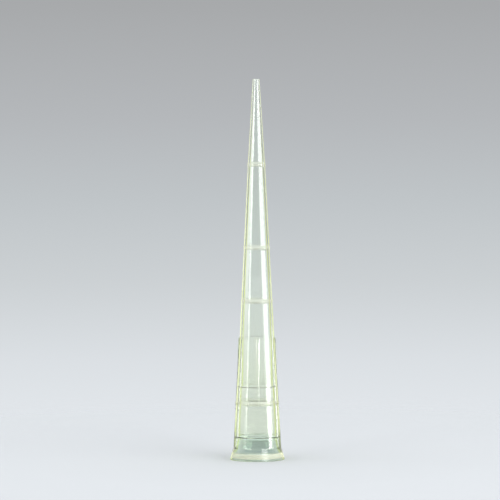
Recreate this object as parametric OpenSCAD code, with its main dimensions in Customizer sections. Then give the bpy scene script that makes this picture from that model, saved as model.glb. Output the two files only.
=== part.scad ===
// Universal pipette tip for volumes up to 200 microlitres, moulded in one piece.
// It stands on its wide rim: z = 0 is the rim's face, and +Z runs up the bore axis to the
// narrow end. The bore goes right through. Low rings outside mark the filling volumes.
// Millimetres throughout.

/* [Overall] */
// Length from the wide rim to the narrow end
tip_len = 50; // [46:0.5:54]
// Outside diameter of the wide rim
rim_d = 7.2; // [6.8:0.05:8]

/* [Outside] */
// Outside diameter of the narrow end
narrow_d = 0.86; // [0.8:0.01:1]
// Height at which the steeper nose cone starts
nose_z = 38.85; // [36:0.05:41]
// Outside diameter where the nose cone starts
nose_d = 2.24; // [2:0.01:2.5]
// Height at which the slim cone runs into the ribbed collar
collar_top_z = 16; // [14:0.05:18]
// Outside diameter at the top of the collar
collar_top_d = 4.57; // [4.3:0.01:4.8]
// Height at which the collar flares out into the skirt
skirt_z = 1.6; // [1.2:0.05:2.2]
// Outside diameter where the skirt starts
skirt_top_d = 6.3; // [6:0.01:6.6]
// Height of the straight band round the rim
rim_band_h = 0.12; // [0.08:0.01:0.3]

/* [Bore] */
// Bore diameter at the narrow end
orifice_d = 0.46; // [0.35:0.01:0.55]
// Bore diameter where the nose cone starts
nose_bore_d = 1.7; // [1.4:0.01:1.8]
// Height of the slight bend in the bore of the slim cone
slim_bore_z = 24; // [20:0.5:30]
// Bore diameter at that bend
slim_bore_d = 3.22; // [3.1:0.01:3.3]
// Bore diameter level with the top of the collar
neck_bore_d = 3.86; // [3.7:0.01:3.95]
// Height of the ledge at the inner end of the socket
socket_z = 9.6; // [8.5:0.05:11]
// Bore diameter just above the ledge
ledge_bore_d = 4.12; // [3.95:0.01:4.3]
// Socket diameter just below the ledge
socket_d = 4.46; // [4.35:0.01:4.7]
// Height of the upper edge of the sealing land
seal_z = 3.5; // [3.3:0.05:3.8]
// Length of the sealing land
seal_h = 0.46; // [0.3:0.01:0.5]
// Diameter of the sealing land, which grips the nose of a pipette
seal_d = 4.98; // [4.9:0.01:5.05]
// Depth by which the socket is relieved above the sealing land
seal_relief = 0.03; // [0.02:0.01:0.06]
// Height of the bottom of the groove below the sealing land
groove_z = 2.91; // [2.85:0.01:2.95]
// Bore diameter in the groove
groove_d = 5.22; // [5.16:0.01:5.3]
// Height at which the groove meets the lead-in
mouth_z = 2.74; // [2.65:0.01:2.8]
// Bore diameter at the upper end of the lead-in
mouth_d = 5.12; // [5.06:0.01:5.15]
// Bore diameter of the lead-in level with the top of the skirt
lead_d = 5.67; // [5.5:0.01:5.8]
// Height at which the lead-in meets the thin lip
lip_top_z = 0.95; // [0.7:0.05:1.1]
// Bore diameter at the top of the lip
lip_top_d = 6.3; // [6.2:0.01:6.4]
// Bore diameter at the rim's face
lip_d = 6.88; // [6.7:0.01:6.95]

/* [Volume marks] */
// Heights of the rings that mark 10, 50 and 100 microlitres, and of the collar's ring
mark_z = [38.8, 27.9, 20.9, 7.5];
// Height by which a ring stands proud
mark_proud = 0.07; // [0.03:0.01:0.12]
// Width of a ring at its foot
mark_w = 0.5; // [0.3:0.05:0.7]

/* [Ribs] */
// Number of ribs round the collar
rib_count = 4; // [3:1:8]
// Direction of the first rib, turned from the front
rib_turn = 2.5; // [-20:0.5:20]
// Width of a rib
rib_w = 0.3; // [0.2:0.05:0.5]
// Height by which a rib stands proud at the top of the collar, where it ends
rib_top_h = 0.14; // [0.05:0.01:0.2]
// Height at which a rib bends towards its foot
rib_bend_z = 12; // [9:0.5:14]
// Height by which a rib stands proud at that bend
rib_bend_h = 0.07; // [0.03:0.005:0.1]
// Height at which a rib has died away into the collar
rib_foot_z = 2.5; // [2:0.1:3.5]

/* [Hidden] */
$fn = 96;
past_end = 1;      // how far the bore's cutter runs past each end
tint = [0.90, 0.96, 0.74, 0.55];

// Outside radius of the plain cones at height z, without rings and ribs
function cone_r(z) = z >= collar_top_z
    ? lookup(z, [[collar_top_z, collar_top_d / 2], [nose_z, nose_d / 2], [tip_len, narrow_d / 2]])
    : lookup(z, [[rim_band_h, rim_d / 2], [skirt_z, skirt_top_d / 2],
                 [collar_top_z, collar_top_d / 2]]);

// The solid outside form, turned about the bore axis
module outer_form() {
    rotate_extrude()
        polygon([
            [0, 0],
            [rim_d / 2, 0],
            [rim_d / 2, rim_band_h],
            [skirt_top_d / 2, skirt_z],
            [collar_top_d / 2, collar_top_z],
            [nose_d / 2, nose_z],
            [narrow_d / 2, tip_len],
            [0, tip_len],
        ]);
}

// A low ring with sloping flanks, centred on height z
module volume_mark(z) {
    crown_w = mark_w * 0.4;
    sunk = 0.1;
    rotate_extrude()
        polygon([
            [cone_r(z - mark_w / 2) - sunk, z - mark_w / 2],
            [cone_r(z - mark_w / 2), z - mark_w / 2],
            [cone_r(z - crown_w / 2) + mark_proud, z - crown_w / 2],
            [cone_r(z + crown_w / 2) + mark_proud, z + crown_w / 2],
            [cone_r(z + mark_w / 2), z + mark_w / 2],
            [cone_r(z + mark_w / 2) - sunk, z + mark_w / 2],
        ]);
}

// A rib that stands proud at the top of the collar and dies away towards the rim
module rib() {
    sunk = 0.2;
    rotate([90, 0, 0])
        linear_extrude(rib_w, center = true)
            polygon([
                [cone_r(rib_foot_z) - sunk, rib_foot_z],
                [cone_r(rib_foot_z), rib_foot_z],
                [cone_r(rib_bend_z) + rib_bend_h, rib_bend_z],
                [cone_r(collar_top_z) + rib_top_h, collar_top_z],
                [cone_r(collar_top_z) - sunk, collar_top_z],
            ]);
}

// The bore: lip, lead-in, groove, sealing land, socket, ledge and the taper to the orifice
module bore() {
    rotate_extrude()
        polygon([
            [0, -past_end],
            [lip_d / 2, -past_end],
            [lip_d / 2, 0],
            [lip_top_d / 2, lip_top_z],
            [lead_d / 2, skirt_z],
            [mouth_d / 2, mouth_z],
            [groove_d / 2, groove_z],
            [seal_d / 2, seal_z - seal_h],
            [seal_d / 2, seal_z],
            [seal_d / 2 + seal_relief, seal_z],
            [socket_d / 2, socket_z],
            [ledge_bore_d / 2, socket_z],
            [neck_bore_d / 2, collar_top_z],
            [slim_bore_d / 2, slim_bore_z],
            [nose_bore_d / 2, nose_z],
            [orifice_d / 2, tip_len],
            [orifice_d / 2, tip_len + past_end],
            [0, tip_len + past_end],
        ]);
}

module pipette_tip() {
    color(tint)
        difference() {
            union() {
                outer_form();
                for (z = mark_z)
                    volume_mark(z);
                for (i = [0 : rib_count - 1])
                    rotate([0, 0, -90 + rib_turn + i * 360 / rib_count])
                        rib();
            }
            bore();
        }
}

pipette_tip();
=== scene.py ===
"""A clear pipette tip, moulded in one piece from yellow-tinted polypropylene.

The tip is one closed mesh: the outline of the moulded section, turned about the bore axis by
a Geometry Nodes tree that also raises the ribs on the collar. Its sizes are in millimetres
until MM turns them into metres. z = 0 is the rim's face, and +z runs up to the narrow end.
The studio round it is in metres: a pale table top, pale walls and plain white lamps.
"""
import math

import bpy
from mathutils import Matrix, Vector


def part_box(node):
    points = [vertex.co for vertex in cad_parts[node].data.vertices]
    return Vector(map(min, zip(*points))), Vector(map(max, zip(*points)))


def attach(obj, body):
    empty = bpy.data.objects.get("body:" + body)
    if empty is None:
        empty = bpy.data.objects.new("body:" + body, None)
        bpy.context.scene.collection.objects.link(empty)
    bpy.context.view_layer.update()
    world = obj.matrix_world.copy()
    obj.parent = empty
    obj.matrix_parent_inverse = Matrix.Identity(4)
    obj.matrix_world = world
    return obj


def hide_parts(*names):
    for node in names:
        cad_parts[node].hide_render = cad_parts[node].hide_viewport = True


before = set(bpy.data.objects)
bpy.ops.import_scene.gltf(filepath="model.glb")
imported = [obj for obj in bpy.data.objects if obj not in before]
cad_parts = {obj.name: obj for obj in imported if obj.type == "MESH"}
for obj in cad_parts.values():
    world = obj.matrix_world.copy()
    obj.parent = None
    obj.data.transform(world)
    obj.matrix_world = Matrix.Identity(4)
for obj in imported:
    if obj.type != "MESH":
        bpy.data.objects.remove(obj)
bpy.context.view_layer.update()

MM = 0.001
TIP = "pipette_tip"

# ---------------------------------------------------------------- sizes of the tip

high_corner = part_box(TIP)[1]
TIP_LEN = high_corner.z / MM          # wide rim to narrow end
RIM_R = high_corner.x / MM            # outside radius of the wide rim
RIM_BAND_H = 0.12                     # straight band round the rim

NARROW_R = 0.43                       # outside radius of the narrow end
NOSE_Z, NOSE_R = 38.85, 1.12          # where the steeper nose cone starts
COLLAR_TOP_Z, COLLAR_TOP_R = 16.0, 2.285   # where the slim cone runs into the ribbed collar
SKIRT_Z, SKIRT_TOP_R = 1.6, 3.15      # where the collar flares into the skirt

ORIFICE_R = 0.23                      # bore at the narrow end
NOSE_BORE_R = 0.85                    # bore where the nose cone starts
SLIM_BORE_Z, SLIM_BORE_R = 24, 1.61   # bore part way down the slim cone
NECK_BORE_R = 1.93                    # bore level with the top of the collar
SOCKET_Z = 9.6                        # ledge at the inner end of the socket
LEDGE_BORE_R, SOCKET_R = 2.06, 2.23   # bore above the ledge, socket below it
SEAL_Z, SEAL_H, SEAL_R = 3.5, 0.46, 2.49   # sealing land: upper edge, length and radius
SEAL_RELIEF = 0.03                    # how far the socket stands back from the sealing land
GROOVE_Z, GROOVE_R = 2.91, 2.61       # bottom of the groove below the sealing land
MOUTH_Z, MOUTH_R = 2.74, 2.56         # where the groove meets the lead-in
LEAD_R = 2.835                        # lead-in level with the top of the skirt
LIP_TOP_Z, LIP_TOP_R, LIP_R = 0.95, 3.15, 3.44   # the thin lip below the lead-in

MARK_HEIGHTS = (7.5, 20.9, 27.9, 38.8)     # the collar's ring, then the volume marks
MARK_PROUD = 0.07                     # height by which a ring stands proud
MARK_W, MARK_CROWN_W = 0.5, 0.125     # width of a ring at its foot and along its top
MARK_SOFT = 0.3                       # softening of a ring's corners

RIB_COUNT, RIB_TURN = 4, math.radians(2.5)      # the first is a little right of the front
RIB_CREST_W, RIB_FLANK = 0.14, math.radians(31)   # a rib's width on top, its sides' slope
FOOT_FLANK, FOOT_SHARE = math.radians(4), 0.2   # the sides' gentle foot: slope, share of height
RIB_TOP_H, RIB_END = 0.14, 0.04       # a rib's height at the collar's top, its end's length
RIB_BEND_Z, RIB_BEND_H = 12.0, 0.07   # where a rib bends towards its foot, its height there
RIB_FOOT_Z = 2.5                      # where a rib has died away

AROUND = 160                          # faces round the tip
RIB_CROWDING = 0.72                   # how far they crowd together at the ribs, from 0 to 1
LONGEST_STEP = 0.35                   # longest face along the section
ARC_STEPS = 5                         # faces round each softened corner
ARC_SHARE = 0.45                      # share of a straight side that such a corner may take
GUARD = 0.03                          # narrow face kept on each side of such a corner


# ---------------------------------------------------------------- node helpers

class Value:
    """A socket that can stand in a Python expression: each operator adds a Math node."""

    def __init__(self, graph, socket):
        self.graph, self.socket = graph, socket

    def __add__(self, other): return self.graph.maths("ADD", self, other)
    def __radd__(self, other): return self.graph.maths("ADD", other, self)
    def __sub__(self, other): return self.graph.maths("SUBTRACT", self, other)
    def __rsub__(self, other): return self.graph.maths("SUBTRACT", other, self)
    def __mul__(self, other): return self.graph.maths("MULTIPLY", self, other)
    def __rmul__(self, other): return self.graph.maths("MULTIPLY", other, self)
    def __truediv__(self, other): return self.graph.maths("DIVIDE", self, other)
    def __rtruediv__(self, other): return self.graph.maths("DIVIDE", other, self)
    def __gt__(self, other): return self.graph.maths("GREATER_THAN", self, other)
    def __lt__(self, other): return self.graph.maths("LESS_THAN", self, other)


class Graph:
    """One node tree. Its `add` makes, sets and links every node."""

    def __init__(self, tree):
        self.tree = tree
        tree.nodes.clear()

    def add(self, kind, settings=None, sockets=None, out=0):
        """Adds a node and returns its output `out`, a number or a name, as a Value.

        A socket is given a Value to link or a plain value, and a colour is (red, green, blue).
        """
        node = self.tree.nodes.new(kind)
        for name, setting in (settings or {}).items():
            if name == "stops":
                self.set_stops(node.color_ramp, setting)
            else:
                setattr(node, name, setting)
        for key, given in (sockets or {}).items():
            socket = node.inputs[key]
            if isinstance(given, Value):
                self.tree.links.new(given.socket, socket)
            else:
                socket.default_value = (*given, 1.0) if socket.type == "RGBA" else given
        return Value(self, node.outputs[out]) if node.outputs else None

    def set_stops(self, ramp, stops):
        while len(ramp.elements) < len(stops):
            ramp.elements.new(0.5)
        for element, (place, colour) in zip(ramp.elements, stops):
            element.position, element.color = place, (*colour, 1.0)

    def outputs(self, kind, sockets=None):
        """Adds a node and returns all of its outputs by name."""
        node = self.add(kind, None, sockets).socket.node
        return {socket.name: Value(self, socket) for socket in node.outputs if socket.name}

    def split(self, vector):
        """The x, y and z of a vector."""
        return self.outputs("ShaderNodeSeparateXYZ", {"Vector": vector}).values()

    def maths(self, operation, *terms):
        return self.add("ShaderNodeMath", {"operation": operation}, dict(enumerate(terms)))

    def rise(self, value, start, end, low=0.0, high=1.0, way="SMOOTHSTEP"):
        """Goes from `low` where `value` is at `start` to `high` where it is at `end`."""
        return self.add("ShaderNodeMapRange", {"interpolation_type": way},
                        {"Value": value, "From Min": start, "From Max": end,
                         "To Min": low, "To Max": high})

    def blend(self, share, first, second):
        """Goes from the first colour to the second as `share` goes from 0 to 1."""
        return self.add("ShaderNodeMix", {"data_type": "RGBA"},
                        {0: share, 6: first, 7: second}, out=2)


def placed(name, data):
    """A new object with this data, in the scene."""
    thing = bpy.data.objects.new(name, data)
    bpy.context.scene.collection.objects.link(thing)
    return thing


# ---------------------------------------------------------------- outline of the section

def along(z, *stations):
    """Radius at height z on straight lines between (height, radius) stations."""
    for (z0, r0), (z1, r1) in zip(stations, stations[1:]):
        if z <= z1:
            return r0 + (r1 - r0) * (z - z0) / (z1 - z0)
    return stations[-1][1]


def cone_r(z):
    """Outside radius of the plain cones, without rings and ribs."""
    if z < COLLAR_TOP_Z:
        return along(z, (RIM_BAND_H, RIM_R), (SKIRT_Z, SKIRT_TOP_R),
                     (COLLAR_TOP_Z, COLLAR_TOP_R))
    return along(z, (COLLAR_TOP_Z, COLLAR_TOP_R), (NOSE_Z, NOSE_R), (TIP_LEN, NARROW_R))


def mark_corners(z):
    """The four corners of a low ring centred on height z, from below to above."""
    foot, crown = MARK_W / 2, MARK_CROWN_W / 2
    return [(cone_r(z + up) + proud, z + up, MARK_SOFT)
            for up, proud in ((-foot, 0), (-crown, MARK_PROUD), (crown, MARK_PROUD), (foot, 0))]


def section_corners():
    """Corners of the moulded section: (radius, height, softening, on the outside)."""
    collar_mark, slim_mark, middle_mark, nose_mark = MARK_HEIGHTS
    outside = [(RIM_R, 0, 0.05), (RIM_R, RIM_BAND_H, 0.06), (SKIRT_TOP_R, SKIRT_Z, 0.8)]
    outside += mark_corners(collar_mark)
    outside += [(cone_r(z), z, 0.01) for z in (COLLAR_TOP_Z, COLLAR_TOP_Z + RIB_END)]
    outside += mark_corners(slim_mark) + mark_corners(middle_mark) + mark_corners(nose_mark)
    outside += [(NARROW_R, TIP_LEN, 0.03)]
    bore = [(ORIFICE_R, TIP_LEN, 0.03), (NOSE_BORE_R, NOSE_Z, 6),
            (SLIM_BORE_R, SLIM_BORE_Z, 12), (NECK_BORE_R, COLLAR_TOP_Z, 6),
            (LEDGE_BORE_R, SOCKET_Z, 0.05), (SOCKET_R, SOCKET_Z, 0.04),
            (SEAL_R + SEAL_RELIEF, SEAL_Z, 0.01), (SEAL_R, SEAL_Z, 0.01),
            (SEAL_R, SEAL_Z - SEAL_H, 0.02), (GROOVE_R, GROOVE_Z, 0.02), (MOUTH_R, MOUTH_Z, 0.03),
            (LEAD_R, SKIRT_Z, 0.8), (LIP_TOP_R, LIP_TOP_Z, 0.05), (LIP_R, 0, 0.06)]
    return [corner + (True,) for corner in outside] + [corner + (False,) for corner in bore]


def softened(corners):
    """Replaces each corner by a short arc, with a guard point just outside each end of it."""
    points = []
    for i, (r, z, soft, outer) in enumerate(corners):
        here = Vector((r, z))
        before = Vector(corners[i - 1][:2])
        after = Vector(corners[(i + 1) % len(corners)][:2])
        back, on = (before - here).normalized(), (after - here).normalized()
        half = back.angle(on) / 2
        room = ARC_SHARE * min((before - here).length, (after - here).length)
        cut = min(soft / math.tan(half), room)
        radius = cut * math.tan(half)
        centre = here + (back + on).normalized() * radius / math.sin(half)
        start, end = here + back * cut, here + on * cut
        arm = start - centre
        sweep = math.copysign(math.pi - 2 * half, back.y * on.x - back.x * on.y)
        arc = []
        for k in range(ARC_STEPS + 1):
            a = sweep * k / ARC_STEPS
            arc.append(centre + Vector((arm.x * math.cos(a) - arm.y * math.sin(a),
                                        arm.x * math.sin(a) + arm.y * math.cos(a))))
        beyond = min(GUARD, room - cut + GUARD * 0.1)
        points += [(point, outer)
                   for point in (start + back * beyond, *arc, end + on * beyond)]
    return points


def section_curve():
    """The outline as a closed curve in the XZ plane. Its radius is 1 outside, 0 in the bore."""
    points = softened(section_corners())
    curve = bpy.data.curves.new("tip_section", "CURVE")
    curve.dimensions = "3D"
    spline = curve.splines.new("POLY")
    spline.points.add(len(points) - 1)
    for place, (point, outer) in zip(spline.points, points):
        place.co = (point.x * MM, 0, point.y * MM, 1)
        place.radius = 1.0 if outer else 0.0
    spline.use_cyclic_u = True
    return placed("tip_section", curve)


# ---------------------------------------------------------------- the turned body

def turning_tree(sizes):
    """Turns the section about the z axis, and raises the ribs on the collar's outside."""
    tree = bpy.data.node_groups.new("turned_tip", "GeometryNodeTree")
    kinds = {name: "Int" if isinstance(size, int) else "Float" for name, size in sizes.items()}
    for name, kind in {"Section": "Geometry", **kinds, "Material": "Material"}.items():
        tree.interface.new_socket(name, in_out="INPUT", socket_type="NodeSocket" + kind)
    tree.interface.new_socket("Tip", in_out="OUTPUT", socket_type="NodeSocketGeometry")
    g = Graph(tree)
    given = g.outputs("NodeGroupInput")

    # long straight stretches of the section get points at least every Longest Step
    index = g.add("GeometryNodeInputIndex")
    place = g.add("GeometryNodeInputPosition")
    corners = g.add("GeometryNodeAttributeDomainSize", {"component": "CURVE"},
                    {"Geometry": given["Section"]})
    following = g.add("GeometryNodeFieldAtIndex", {"data_type": "FLOAT_VECTOR"},
                      {"Value": place, "Index": g.maths("MODULO", index + 1, corners)})
    gap = g.add("ShaderNodeVectorMath", {"operation": "DISTANCE"}, {0: place, 1: following},
                out="Value")
    section = g.add("GeometryNodeSubdivideCurve", None,
                    {"Curve": given["Section"],
                     "Cuts": g.maths("FLOOR", gap / given["Longest Step"])})
    rows = g.add("GeometryNodeAttributeDomainSize", {"component": "CURVE"},
                 {"Geometry": section})

    # a flat grid, with one row for each point of the section and one column for each turn step
    columns = given["Faces Round"]
    grid = g.add("GeometryNodeMeshGrid", None,
                 {"Vertices X": columns + 1, "Vertices Y": rows + 1})
    row = g.maths("MODULO", index, rows + 1)
    column = g.maths("FLOOR", (index + 0.5) / (rows + 1))

    def on_section(field, kind):
        """A field of the section, read at the point that this row of the grid stands for."""
        return g.add("GeometryNodeSampleIndex", {"data_type": kind, "domain": "POINT"},
                     {"Geometry": section, "Value": field,
                      "Index": g.maths("MODULO", row, rows)})

    radius, _, height = g.split(on_section(place, "FLOAT_VECTOR"))
    is_outside = on_section(g.add("GeometryNodeInputRadius"), "FLOAT") > 0.99

    # turn steps crowd together at the ribs
    even = column / columns * math.tau
    phase = even * given["Rib Count"]
    angle = even - g.maths("SINE", phase) * RIB_CROWDING / given["Rib Count"]

    # how far this angle is beside the nearest rib's crest
    apart = math.tau / given["Rib Count"]
    off_rib = g.maths("ABSOLUTE", g.maths("WRAP", angle, apart * 0.5, apart * -0.5))
    beside = g.maths("MAXIMUM", off_rib * radius - given["Rib Crest"] / 2, 0.0)
    # the crest falls to the bend and dies away at the foot, and the flanks keep their slope
    above_bend = g.rise(height, given["Rib Bend"], given["Collar Top"],
                        given["Bend Height"], given["Top Height"], way="LINEAR")
    below_bend = g.rise(height, given["Rib Foot"], given["Rib Bend"],
                        0.0, given["Bend Height"], way="LINEAR")
    crest = above_bend + below_bend - given["Bend Height"]
    steep = crest - beside * g.maths("TANGENT", given["Rib Flank"])
    gentle = crest * given["Foot Share"] - beside * g.maths("TANGENT", given["Foot Flank"])
    rib = g.maths("MAXIMUM", g.maths("MAXIMUM", steep, gentle), 0.0)
    hair = 0.01 * MM
    radius = radius + rib * is_outside * (height < given["Collar Top"] + hair)

    # the grid goes round the axis, and its meeting edges are welded
    turned = angle + given["Rib Turn"] - math.pi / 2
    where = g.add("ShaderNodeCombineXYZ", None,
                  {"X": radius * g.maths("COSINE", turned),
                   "Y": radius * g.maths("SINE", turned), "Z": height})
    body = grid
    for kind, sockets in (("GeometryNodeSetPosition", {"Position": where}),
                          ("GeometryNodeMergeByDistance", {"Distance": 0.0001 * MM}),
                          ("GeometryNodeSetShadeSmooth", {"Shade Smooth": True}),
                          ("GeometryNodeRealizeInstances", {}),
                          ("GeometryNodeSetMaterial", {"Material": given["Material"]})):
        body = g.add(kind, None, {"Geometry": body, **sockets})
    g.add("NodeGroupOutput", None, {"Tip": body})
    return tree


def plain_mesh(maker, modifier, name):
    """The evaluated object as a plain mesh object of its own; the maker is then removed."""
    bpy.context.view_layer.update()
    graph = bpy.context.evaluated_depsgraph_get()
    mesh = bpy.data.meshes.new_from_object(maker.evaluated_get(graph))
    maker.modifiers.remove(modifier)
    bpy.data.objects.remove(maker)
    mesh.name = name
    return placed(name, mesh)


def turned_tip(material):
    """The whole tip as one closed mesh."""
    sizes = {
        "Faces Round": AROUND,
        "Longest Step": LONGEST_STEP * MM,
        "Rib Count": RIB_COUNT,
        "Rib Turn": RIB_TURN,
        "Rib Crest": RIB_CREST_W * MM,
        "Rib Flank": RIB_FLANK,
        "Top Height": RIB_TOP_H * MM,
        "Bend Height": RIB_BEND_H * MM,
        "Rib Bend": RIB_BEND_Z * MM,
        "Rib Foot": RIB_FOOT_Z * MM,
        "Foot Flank": FOOT_FLANK,
        "Foot Share": FOOT_SHARE,
        "Collar Top": COLLAR_TOP_Z * MM,
    }
    given = {**sizes, "Material": material}
    maker = section_curve()
    modifier = maker.modifiers.new("turn", "NODES")
    modifier.node_group = turning_tree(sizes)
    for socket in modifier.node_group.interface.items_tree:
        if socket.name in given:
            modifier[socket.identifier] = given[socket.name]
    return plain_mesh(maker, modifier, "tip_body")


# ---------------------------------------------------------------- materials

REFRACTION = 1.49                     # polypropylene's refractive index
CONE_TINT = (0.975, 1.0, 1.0)
COLLAR_SHADED_TINT = (0.95, 0.97, 0.96)      # a little duller than the slim cone: painted shade, for the darker surroundings seen through the collar
SKIRT_TINT = (0.91, 1.0, 0.98)        # the greenest
EDGE_GLOW_TINT = (0.87, 1.0, 0.10)         # painted edge glow: yellow-green where the wall is seen edge on, standing for light piped along the wall as well as the wall's deeper tint
DEPTH_TINT = (0.88, 0.97, 0.48)       # light loses its blue on the way through the wall
# cream of the milky parts: painted light, paler where the lip and the rings show bright
MILKY_PAINTED_LIGHT_TINT = (1.0, 0.98, 0.80)
LIP_PAINTED_LIGHT, RING_PAINTED_HIGHLIGHT = 0.42, 0.16      # painted light: how milky, and so how pale, the lip and the rings are, from 0 to 1
RING_HIGHLIGHT_LIFT = 0.1                  # the painted highlight lies this far above a ring's middle


def new_material(name):
    """A material, and the Graph of its node tree."""
    material = bpy.data.materials.new(name)
    material.use_nodes = True
    return material, Graph(material.node_tree)


def clear_polypropylene():
    """Yellow-tinted clear polypropylene with a moulded gloss."""
    material, g = new_material("clear_polypropylene")
    place = g.add("ShaderNodeTexCoord", out="Object")
    _, _, height = g.split(place)

    # a slightly uneven gloss, and faint flow streaks along the tip
    cloud = g.add("ShaderNodeTexNoise", None,
                  {"Vector": place, "Scale": 900.0, "Detail": 3.0, "Roughness": 0.55})
    flow = g.add("ShaderNodeMapping", None, {"Vector": place, "Scale": (2400.0, 2400.0, 140.0)})
    streak = g.add("ShaderNodeTexNoise", None, {"Vector": flow, "Scale": 1.0, "Detail": 2.0})
    bump = g.add("ShaderNodeBump", None,
                 {"Strength": 0.03, "Distance": 0.02 * MM, "Height": streak})

    below_cone = g.rise(height, 27 * MM, 14 * MM, way="LINEAR")
    above_skirt = g.rise(height, 2.7 * MM, 3.3 * MM, way="LINEAR")
    facing = g.add("ShaderNodeLayerWeight", None, {"Blend": 0.5}, out="Facing")
    # painted shade: from part way down the slim cone to the collar, the colour is a little duller
    tint = g.blend(below_cone, CONE_TINT, COLLAR_SHADED_TINT)
    tint = g.blend(above_skirt, SKIRT_TINT, tint)
    # painted edge glow: the colour turns yellow-green where the surface is seen edge on
    tint = g.blend(g.rise(facing, 0.50, 0.72), tint, EDGE_GLOW_TINT)
    clear = g.add("ShaderNodeBsdfPrincipled", None,
                  {"Base Color": tint, "Roughness": 0.03 + cloud * 0.05, "IOR": REFRACTION,
                   "Transmission Weight": 0.97, "Normal": bump})
    milky_painted_light = g.add("ShaderNodeBsdfPrincipled", None,
                  {"Base Color": MILKY_PAINTED_LIGHT_TINT, "Roughness": 0.2, "IOR": REFRACTION,
                   "Transmission Weight": 0.30, "Normal": bump})

    # painted light: the lip and the rings are made milky and paler, standing for the bright band
    # seen through the lip and the highlights along the rings
    painted_light_share = (g.rise(height, 1.1 * MM, 0.8 * MM, high=LIP_PAINTED_LIGHT)
            * g.rise(height, 0.15 * MM, 0.4 * MM))
    for ring in MARK_HEIGHTS:
        off_ring = g.maths("ABSOLUTE", height - (ring + RING_HIGHLIGHT_LIFT) * MM)
        painted_light_share = painted_light_share + g.rise(off_ring, 0.3 * MM, 0.1 * MM, high=RING_PAINTED_HIGHLIGHT)
    surface = g.add("ShaderNodeMixShader", None, {0: painted_light_share, 1: clear, 2: milky_painted_light})
    depth = g.add("ShaderNodeVolumeAbsorption", None, {"Color": DEPTH_TINT, "Density": 330.0})
    g.add("ShaderNodeOutputMaterial", None, {"Surface": surface, "Volume": depth})
    return material


def floor_paint():
    """Matt pale paint that fades out between 3 and 9 cm from the middle."""
    material, g = new_material("floor_paint")
    place = g.add("ShaderNodeTexCoord", out="Object")
    away = g.add("ShaderNodeVectorMath", {"operation": "LENGTH"}, {0: place}, out="Value")
    shader = g.add("ShaderNodeBsdfPrincipled", None,
                   {"Base Color": (0.73, 0.765, 0.80), "Roughness": 0.9,
                    "Specular IOR Level": 0.2, "Alpha": g.rise(away, 0.09, 0.03)})
    g.add("ShaderNodeOutputMaterial", None, {"Surface": shader})
    return material


# ---------------------------------------------------------------- studio

# The walls are part of the world, so each is placed by its direction from the tip: a vector of
# length 1, with x to the right, y away from the camera and z up.
WALL_SHADES = (                       # z of the direction, colour there
    (-0.110, (0.768, 0.807, 0.838)), (-0.097, (0.749, 0.783, 0.815)),
    (-0.086, (0.712, 0.745, 0.776)), (-0.065, (0.607, 0.638, 0.658)),
    (-0.043, (0.527, 0.558, 0.578)), (-0.021, (0.462, 0.479, 0.497)),
    (0.01, (0.390, 0.400, 0.410)), (0.03, (0.375, 0.390, 0.400)), (0.08, (0.360, 0.380, 0.390)),
    (0.12, (0.50, 0.50, 0.50)), (0.22, (0.60, 0.60, 0.60)), (0.27, (0.25, 0.27, 0.28)),
    (0.42, (0.25, 0.27, 0.28)), (0.5, (0.75, 0.75, 0.75)))
SIDE_WALLS = (                        # colour, x of its two sides, z of foot and top, least y
    ((1.00, 1.00, 1.00), -0.09, -0.30, -1, 0.09, 0.55),
    ((0.84, 0.87, 0.90), -0.09, -0.34, -0.035, 0.09, 0.55),
    ((1.00, 1.00, 1.00), -0.26, -0.42, -1, 0.09, 0.55),
    ((0.74, 0.76, 0.78), 0.20, 0.39, -1, 0.09, 0.55),
    ((0.84, 0.86, 0.88), -0.09, -0.76, -1, -0.07, 0.55),
    ((1.00, 1.00, 1.00), 0.20, 0.34, -1, -0.08, 0.55),
    ((0.76, 0.78, 0.80), 0.34, 0.70, -1, -0.07, 0.55),
    ((0.85, 0.85, 0.85), -0.20, -1.20, 0.10, 0.55, 0.0),
    ((0.85, 0.85, 0.85), 0.45, 1.20, 0.10, 0.55, 0.0))
SIDE_BLUR, FOOT_BLUR, TOP_BLUR, DEPTH_BLUR = 0.05, 0.03, 0.02, 0.2   # soft edges of those
FRONT_SHADE = (0.20, 0.20, 0.21)      # the darker room in front of the tip
ROOM_LIGHT = 0.84                     # strength of the plain white light from all round

LAMP_DISTANCE = 0.45
# Angles are in degrees, and azimuth 0 is towards the camera and grows to the right. A "lit"
# lamp lights the tip. A "side" lamp does too, but isn't seen through the plastic. A "gloss"
# lamp lights nothing and shows only in the gloss.
SOFT_BOXES = (                        # name, use, azimuth, lean, centre's height, size, radiance
    ("right_soft_box", "lit", 52.6, -18, 0.102, (0.60, 0.18), 6.0),
    ("left_strip", "lit", -45.9, -52, 0.111, (0.05, 0.297), 7.3),
    ("left_strip_foot", "lit", -64, -52, -0.005, (0.05, 0.081), 3.0),
    ("left_panel", "side", -86, 0, 0.16, (0.36, 0.60), 0.6),
    ("left_rim", "gloss", -149, 0, 0.03, (0.26, 0.34), 1.15),
    ("right_rim", "gloss", 149, 0, 0.01, (0.26, 0.24), 0.9),
    ("left_low_rim", "gloss", -113, 0, -0.02, (0.09, 0.05), 4.0),
    ("right_low_rim", "gloss", 123, 0, -0.02, (0.09, 0.05), 4.0),
    ("rib_glint", "gloss", 67, 0, 0.006, (0.10, 0.045), 14.0))


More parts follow.
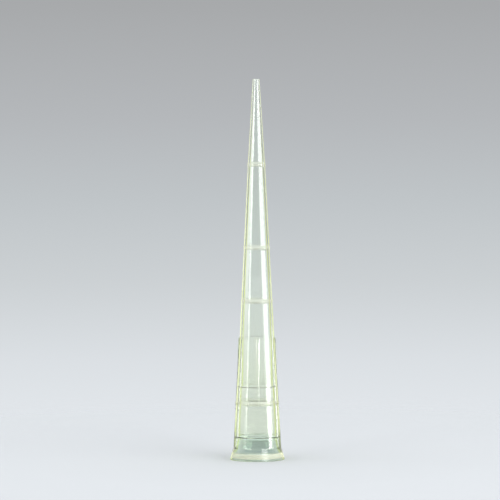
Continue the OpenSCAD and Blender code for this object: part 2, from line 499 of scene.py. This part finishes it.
def build_world():
    """Grey studio walls, paler downwards. The light that falls is plain white."""
    world = bpy.data.worlds.new("studio")
    bpy.context.scene.world = world
    world.use_nodes = True
    g = Graph(world.node_tree)
    across, ahead, up = g.split(g.add("ShaderNodeTexCoord", out="Generated"))
    low, high = WALL_SHADES[0][0], WALL_SHADES[-1][0]
    stops = [((z - low) / (high - low), shade) for z, shade in WALL_SHADES]
    wall = g.add("ShaderNodeValToRGB", {"stops": stops}, {0: (up - low) / (high - low)})

    for shade, near, far, foot, top, behind in SIDE_WALLS:
        blur = math.copysign(SIDE_BLUR, near)
        part = (g.rise(across, near, near + blur) * g.rise(across, far + blur, far)
                * g.rise(up, foot, foot + FOOT_BLUR) * g.rise(up, top, top - TOP_BLUR)
                * g.rise(ahead, behind, behind + DEPTH_BLUR))
        wall = g.blend(part, wall, shade)
    in_front, above_floor = g.rise(ahead, -0.15, -0.6), g.rise(up, -0.14, -0.08)
    wall = g.blend(in_front * above_floor, wall, FRONT_SHADE)

    # the walls show to the camera, in the gloss and through the plastic, but light nothing
    path = g.outputs("ShaderNodeLightPath")
    looks = path["Is Camera Ray"] + path["Is Glossy Ray"] + path["Is Transmission Ray"]
    off_matt = path["Diffuse Depth"] > 0.5
    shown = g.maths("MINIMUM", looks, 1.0) * (1 - off_matt)
    seen = g.add("ShaderNodeBackground", None, {"Color": wall, "Strength": 1.0})
    light = g.add("ShaderNodeBackground", None,
                  {"Color": (1.0, 1.0, 1.0), "Strength": ROOM_LIGHT})
    mix = g.add("ShaderNodeMixShader", None, {0: shown, 1: light, 2: seen})
    g.add("ShaderNodeOutputWorld", None, {"Surface": mix})


def build_floor():
    """A pale table top whose edge fades into the pale lower wall."""
    half = 0.3
    mesh = bpy.data.meshes.new("floor")
    corners = [(-half, -half, 0), (half, -half, 0), (half, half, 0), (-half, half, 0)]
    mesh.from_pydata(corners, [], [(0, 1, 2, 3)])
    floor = placed("floor", mesh)
    floor.data.materials.append(floor_paint())


def point_along(thing, aim, roll):
    """Points a lamp or the camera along `aim`, rolled about it by `roll` degrees."""
    turn = aim.to_track_quat("-Z", "Y").to_matrix() @ Matrix.Rotation(math.radians(roll), 3, "Z")
    thing.rotation_euler = turn.to_euler()


def soft_box(name, use, azimuth, lean, centre_height, size, radiance):
    """A flat white lamp that faces the tip."""
    width, height = size
    lamp = bpy.data.lights.new(name, "AREA")
    lamp.shape, lamp.size, lamp.size_y = "RECTANGLE", width, height
    lamp.energy = radiance * math.pi * width * height
    box = placed(name, lamp)
    a = math.radians(azimuth)
    box.location = (LAMP_DISTANCE * math.sin(a), -LAMP_DISTANCE * math.cos(a), centre_height)
    point_along(box, Vector((-box.location.x, -box.location.y, 0)), lean)
    box.visible_camera = False
    box.visible_transmission = use == "lit"
    box.visible_diffuse = use != "gloss"


def build_camera():
    """A long lens a little above the tip's narrow end, looking slightly down."""
    distance, eye, roll = 0.485, 0.055, -0.2
    look_at = Vector((-0.00088, 0, 0.02757))
    data = bpy.data.cameras.new("camera")
    data.lens, data.sensor_width = 266.35, 36.0
    camera = placed("camera", data)
    camera.location = (look_at.x, -distance, eye)
    point_along(camera, look_at - camera.location, roll)
    bpy.context.scene.camera = camera


# ---------------------------------------------------------------- put together

build_camera()
build_world()
build_floor()
for box in SOFT_BOXES:
    soft_box(*box)

tip = turned_tip(clear_polypropylene())
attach(tip, "root")
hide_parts(TIP)

scene = bpy.context.scene
scene.view_settings.view_transform = "Standard"
# light crosses wall after wall of clear plastic
scene.cycles.max_bounces = scene.cycles.transmission_bounces = 40
